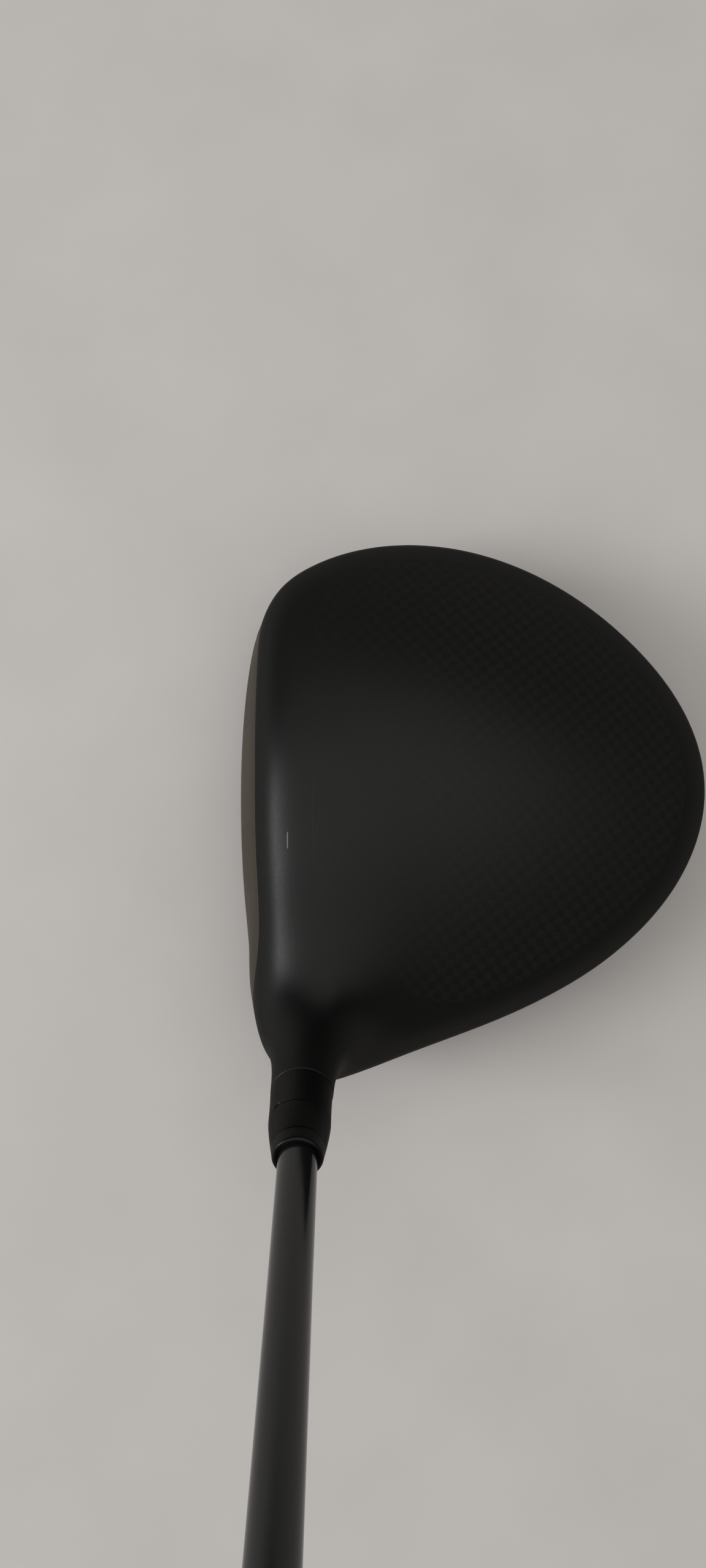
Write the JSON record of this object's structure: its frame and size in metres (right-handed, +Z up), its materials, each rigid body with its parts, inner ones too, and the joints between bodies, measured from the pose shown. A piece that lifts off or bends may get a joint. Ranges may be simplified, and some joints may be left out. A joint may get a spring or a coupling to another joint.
{
  "type": "golf driver",
  "caption": "Right-handed golf driver: rounded hollow head, adjustable hosel with ring and sleeve, screw-in sole weights, tapered shaft and rubber grip.",
  "frame": {"origin": "point of the sole that rests on the ground at address, below the middle of the face", "axes": "+Z up at address, -X towards the target, +Y towards the toe; the shaft leans towards -Y at a lie of 58.5 degrees"},
  "size_m": [0.125, 0.7187, 0.9921],
  "materials": {
    "painted_metal_black": "matte black paint over a cast titanium alloy shell",
    "titanium_face": "brushed titanium with a thin dark brown-grey coating, milled score lines",
    "crown_carbon": "matte black lacquer over a faint carbon-fibre weave",
    "sole_carbon": "satin clear coat over a carbon-fibre weave",
    "titanium_bare": "bare machined titanium",
    "soft_rubber": "matte",
    "screw_steel": "dark nickel-plated steel",
    "weight_steel": "bead-blasted tungsten-filled steel",
    "hosel_anodised": "matte black anodised",
    "ferrule_plastic": "semi-gloss black",
    "plug_brass": "turned",
    "shaft_graphite": "satin dark grey paint over carbon fibre",
    "tape": "double-sided paper tape",
    "grip_rubber": "matte rubber with a moulded pattern",
    "grip_cap_rubber": "satin"
  },
  "bodies": {
    "head": {"body": "painted_metal_black", "face_plate": "titanium_face", "crown_panel": "crown_carbon", "sole_panel": "sole_carbon", "hosel_tube": "titanium_bare", "screw_retainer": "soft_rubber"},
    "hosel_ring": {"adjustment_ring": "hosel_anodised"},
    "shaft_assembly": {"adapter_sleeve": "hosel_anodised", "ferrule": "ferrule_plastic", "tip_plug": "plug_brass", "shaft": "shaft_graphite", "grip_tape": "tape", "grip": "grip_rubber", "grip_cap": "grip_cap_rubber"},
    "hosel_washer": {"screw_washer": "screw_steel"},
    "hosel_bolt": {"hosel_screw": "screw_steel"},
    "front_puck": {"front_weight": "weight_steel"},
    "front_puck_screw": {"front_weight_screw": "screw_steel"},
    "rear_puck": {"rear_weight": "weight_steel"},
    "rear_puck_screw": {"rear_weight_screw": "screw_steel"}
  },
  "joints": [
    {"name": "shaft_lift", "type": "slide", "parent": "head", "child": "hosel_ring", "axis": [0, -0.5225, 0.8526], "range_m": [0, 0.045]},
    {"name": "shaft_index", "type": "hinge", "parent": "hosel_ring", "child": "shaft_assembly", "pos_m": [-0.0207, -0.038, 0], "axis": [0, -0.5225, 0.8526], "continuous": true},
    {"name": "hosel_screw_travel", "type": "slide", "parent": "head", "child": "hosel_washer", "axis": [0, 0.5225, -0.8526], "range_m": [0, 0.0064]},
    {"name": "hosel_screw_turn", "type": "hinge", "parent": "hosel_washer", "child": "hosel_bolt", "pos_m": [-0.0207, -0.038, 0], "axis": [0, 0.5225, -0.8526], "range_deg": [0, 2880]},
    {"name": "front_weight_travel", "type": "slide", "parent": "head", "child": "front_puck", "axis": [-0.1009, 0.0984, -0.99], "range_m": [0, 0.0064]},
    {"name": "front_weight_turn", "type": "hinge", "parent": "front_puck", "child": "front_puck_screw", "pos_m": [-0.02, 0.01, 0.00144], "axis": [-0.1009, 0.0984, -0.99], "range_deg": [0, 2880]},
    {"name": "rear_weight_travel", "type": "slide", "parent": "head", "child": "rear_puck", "axis": [0.3678, -0.0236, -0.9296], "range_m": [0, 0.0064]},
    {"name": "rear_weight_turn", "type": "hinge", "parent": "rear_puck", "child": "rear_puck_screw", "pos_m": [0.062, -0.004, 0.01465], "axis": [0.3678, -0.0236, -0.9296], "range_deg": [0, 2880]}
  ],
  "couplings": [
    {"joint": "hosel_screw_turn", "follows": "hosel_screw_travel", "rad_per_m": 7854},
    {"joint": "front_weight_turn", "follows": "front_weight_travel", "rad_per_m": 7854},
    {"joint": "rear_weight_turn", "follows": "rear_weight_travel", "rad_per_m": 7854}
  ]
}
